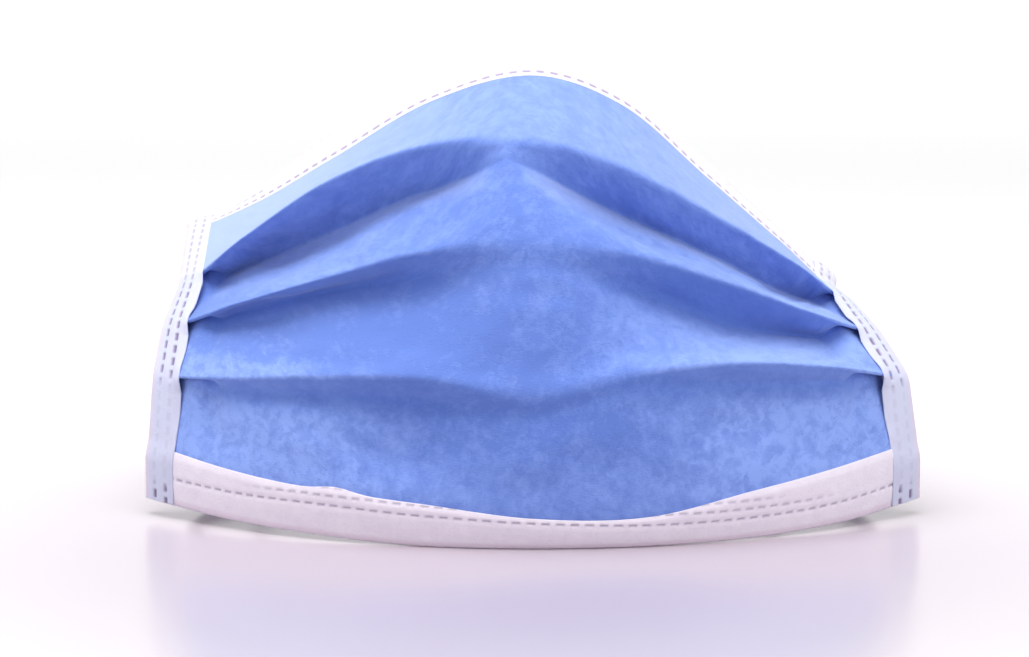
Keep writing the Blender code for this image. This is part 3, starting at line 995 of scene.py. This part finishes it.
def spunbond(name, thin, thick, deep, cloud_strength, painted_light_and_mottle=False):
    """A nonwoven finish between a thin place's colour and a thick place's colour.

    The blue outer layer's finish also gets painted light and shade, and pale flecks on its cheeks,
    which the two functions below add.
    """
    finish = Finish(name)
    cloth = finish.node("ShaderNodeTexCoord", {}, {}, "UV")
    clouds = finish.noise(cloth, CLOUDS, 4.0, 0.62, 0.4)
    patches = finish.noise(cloth, PATCHES, 3.0, 0.6, 0.9)
    streaks = 0.0
    for turn in FILAMENT_TURNS:
        filaments = finish.stretched(cloth, FILAMENTS, turn)
        streaks = finish.noise(filaments, 1.0, 2.0, 0.6, 0.8) * (1.0 / 3.0) + streaks
    sockets = {"Vector": cloth, "Scale": PRESS_POINTS, "Randomness": 0.75}
    points = finish.node("ShaderNodeTexVoronoi", {"feature": "F1"}, sockets)
    pressed = 1.0 - points.step(0.16, 0.30)
    cover = (clouds * 0.55 + patches * 0.45).step(0.30, 0.74)
    fibre = streaks.step(0.40, 0.60)
    amount = cover * cloud_strength + fibre * (0.30 * cloud_strength)
    amount = amount + (0.5 - 0.65 * cloud_strength)
    if painted_light_and_mottle:
        # Painted light and shade, and pale flecks on the cheeks
        amount, x = painted_light_and_mottle_amount(finish, cloth, amount)
    colour = finish.mix(pressed * 0.10, finish.mix(amount, thin, thick), deep)
    if painted_light_and_mottle:
        colour = painted_light_colour(finish, x, colour)
    height = fibre * 0.5 + cover * 0.35 - pressed * 0.8
    finish.set(
        Base_Color=colour, Roughness=0.9, Specular_IOR_Level=0.25,
        Sheen_Weight=0.4, Sheen_Tint=(0.7, 0.85, 1.0, 1.0), Sheen_Roughness=0.5,
        Normal=finish.bump(height, 0.55, CLOTH_RELIEF),
    )
    print(name, "nodes:", len(finish.tree.nodes))
    return finish


def painted_light_and_mottle_amount(finish, cloth, amount):
    """The share of the thick colour, changed by painted light and shade, and the place along x.

    Low down on both cheeks the cloth is paler, as painted light from the side lamps, with pale
    flecks of its own mottle. The middle is painted darker, as painted shade. Between the two lower
    ridges it is painted darker on the left, as painted shade under the upper ridge, and paler on
    the right, as painted light.
    """
    place = finish.node("ShaderNodeTexCoord", {}, {}, "Object")
    x = finish.node("ShaderNodeSeparateXYZ", {}, [place], "X")
    z = finish.node("ShaderNodeSeparateXYZ", {}, [place], "Z")
    sideways = x.maths("ABSOLUTE", x)
    # Painted light low on both cheeks, with the cloth's own flecks
    cheeks = sideways.step(0.016, 0.050) * (1.0 - z.step(0.026, 0.042))
    flecks = finish.noise(cloth, FLECKS, 5.0, 0.7, 0.6).step(0.42, 0.66)
    amount = amount + cheeks * (flecks * 0.8 + 0.15)
    # Painted shade in the middle
    inward = 1.0 - sideways.step(0.005, 0.055)
    amount = amount - inward * (z.step(0.010, 0.022) - z.step(0.064, 0.082)) * 0.35
    # Painted shade between the two lower ridges on the left, and painted light on the right
    between_ridges = z.step(0.032, 0.036) - z.step(0.041, 0.052)
    return amount + between_ridges * (x.step(-0.045, 0.045) * 0.9 - 0.5), x


def painted_light_colour(finish, x, colour):
    """The colour, changed by the numbers that the panel keeps for its points.

    The panel over the nose is painted pale, as painted light shining through it from behind, most
    of all on the left. The cloth is painted dark in its creases, as painted shade, and pale just
    under the uppermost crease, as a painted highlight.
    """
    # Painted light over the nose, strongest on the left
    glow = 0.62 - x.step(-0.07, 0.0) * 0.56 + x.step(0.005, 0.04) * 0.12
    colour = finish.mix(finish.kept("nose_panel") * glow, colour, (0.50, 0.60, 0.92, 1))
    # Painted shade in the creases
    colour = finish.mix(finish.kept("painted_crease_shade") * 0.66, colour, (0.065, 0.15, 0.54, 1))
    # A painted highlight just under the uppermost crease
    return finish.mix(finish.kept("painted_crease_highlight") * 0.3, colour, (0.50, 0.58, 0.86, 1))


# %% Blue cloth, white lining and white bindings
# The blue cloth also gets painted light and shade
spunbond(
    "blue_spunbond", (0.120, 0.210, 0.62, 1), (0.240, 0.36, 0.82, 1), (0.08, 0.16, 0.50, 1), 0.75,
    painted_light_and_mottle=True,
)
spunbond(
    "white_lining", (0.70, 0.72, 0.80, 1), (0.86, 0.86, 0.92, 1), (0.60, 0.62, 0.72, 1), 0.6
)
binding = spunbond(
    "white_binding", (0.76, 0.69, 0.80, 1), (0.88, 0.82, 0.90, 1), (0.64, 0.58, 0.70, 1), 0.55
)
# Blue cloth shows through the side strips. A strip's fold is painted a little pink and darker, as
# painted shade along its edge. A weld is dark and shiny
weld = binding.kept("weld")
white = Signal(binding, binding.shader.inputs["Base Color"].links[0].from_socket)
white = binding.mix(binding.kept("through") * 0.6, white, (0.44, 0.50, 0.72, 1))
strip_place = binding.node("ShaderNodeTexCoord", {}, {}, "UV")
across = binding.node("ShaderNodeSeparateXYZ", {}, [strip_place], "Y")
# Painted shade: each strip's fold is darker and pinker
fold = 1.0 - across.maths("ABSOLUTE", across).step(0.004, 0.013)
white = binding.mix(fold * 0.6, white, (0.72, 0.58, 0.70, 1))
binding.set(
    Base_Color=binding.mix(weld * 0.97, white, (0.22, 0.16, 0.30, 1)), Roughness=0.85 - weld * 0.4
)

# %% [markdown]
# ## Elastic
# The loops are knitted from fine white yarn over a stretchy core. A sine wave of the distance
# along the tube gives the ribs of the knit, and fine noise roughens them.

# %% Elastic of the ear loops
elastic = Finish("white_elastic")
RIB_PITCH = 0.95 * MM
RIB_HEIGHT = 0.25 * MM
YARN = 2600.0
tube = elastic.node("ShaderNodeTexCoord", {}, {}, "Object")
yarn = elastic.noise(tube, YARN, 2.0, 0.6)
turn = elastic.kept("along") * (2 * math.pi / RIB_PITCH) + yarn
ribs = turn.maths("SINE", turn) * 0.5 + 0.5
knit = ribs * 0.7 + yarn * 0.3
elastic.set(
    Base_Color=elastic.mix(knit, (0.66, 0.66, 0.72, 1), (0.90, 0.90, 0.92, 1)),
    Roughness=0.8,
    Normal=elastic.bump(knit, 0.6, RIB_HEIGHT),
)
for loop in loops:
    loop.data.materials.append(elastic.material)
print("ribs on a loop of 167 mm:", round(0.167 / RIB_PITCH))

# %% [markdown]
# ## Table, lights and tone
# The mask stands on glossy white acrylic. A big soft light hangs above, a little in front and to
# the left, and there is a weak one at each side. The world is white at the horizon, where the
# table and the background meet, and dimmer overhead, so that the undersides of the pleats stay
# dark. The plain Standard tone curve keeps the background white, as in the picture.

# %% Table
TABLE_SIZE = 30.0
bpy.ops.mesh.primitive_plane_add(size=TABLE_SIZE, location=(0.0, 0.0, 0.0))
table_top = bpy.context.active_object
table_top.name = "table_top"
acrylic = Finish("acrylic")
# Both colours are rings round the mask: painted shade darkens the table near the mask, and it glows
# as painted light where the background begins
place = acrylic.node("ShaderNodeTexCoord", {}, {}, "Object")
distance = acrylic.node("ShaderNodeVectorMath", {"operation": "LENGTH"}, [place], "Value")
near_and_far = (0.50, 0.435, 0.49, 1), (0.84, 0.84, 0.86, 1)
dark_and_lit = (0.0, 0.0, 0.0, 1), (1.0, 1.0, 1.0, 1)
acrylic.set(
    Base_Color=acrylic.mix(distance.step(0.05, 0.25), *near_and_far),
    Emission_Color=acrylic.mix(distance.step(0.4, 2.5), *dark_and_lit),
    Emission_Strength=0.3,
    Roughness=0.22,
    IOR=1.5,
)
table_top.data.materials.append(acrylic.material)
table_top.select_set(False)
print("table, m:", TABLE_SIZE, "nodes:", len(acrylic.tree.nodes))


# %% Lights
def soft_light(name, place, target, width, height, watts):
    """A white rectangle of light at a place, turned towards a target."""
    data = bpy.data.lights.new(name, "AREA")
    data.shape = "RECTANGLE"
    data.size = width
    data.size_y = height
    data.energy = watts
    lamp = bpy.data.objects.new(name, data)
    lamp.location = place
    direction = np.array(target) - np.array(place)
    yaw = math.atan2(direction[0], -direction[1])
    tilt = math.atan2(math.hypot(direction[0], direction[1]), -direction[2])
    lamp.rotation_euler = (tilt, 0.0, yaw + math.pi)
    bpy.context.scene.collection.objects.link(lamp)
    print(name, "watts:", watts)


soft_light("top_light", (-0.12, -0.05, 0.95), (0.0, 0.05, 0.0), 0.9, 0.7, 12.5)
soft_light("left_light", (-0.75, -0.45, 0.45), (0.0, 0.03, 0.04), 0.6, 0.6, 1.6)
soft_light("right_light", (0.75, -0.45, 0.45), (0.0, 0.03, 0.04), 0.6, 0.6, 2.6)


# %% World and tone
class Surroundings(Finish):
    """The world's light, built up from nodes in the same way."""

    def __init__(self, name):
        self.world = bpy.data.worlds.new(name)
        self.world.use_nodes = True
        self.tree = self.world.node_tree
        self.shader = self.tree.nodes["Background"]


light_tent = Surroundings("light_tent")
OVERHEAD = 0.3
direction = light_tent.node("ShaderNodeTexCoord", {}, {}, "Generated")
away = light_tent.node("ShaderNodeSeparateXYZ", {}, [direction], "Y")
height = light_tent.node("ShaderNodeSeparateXYZ", {}, [direction], "Z")
backdrop = away.step(-0.3, 0.5) * 0.5 + 0.85
strength = backdrop - height.step(0.16, 0.46) * (backdrop - OVERHEAD)
light_tent.set(Color=(1.0, 1.0, 1.0, 1.0), Strength=strength)
print("world nodes:", len(light_tent.tree.nodes))
bpy.context.scene.world = light_tent.world
bpy.context.scene.view_settings.view_transform = "Standard"

bpy.context.view_layer.update()
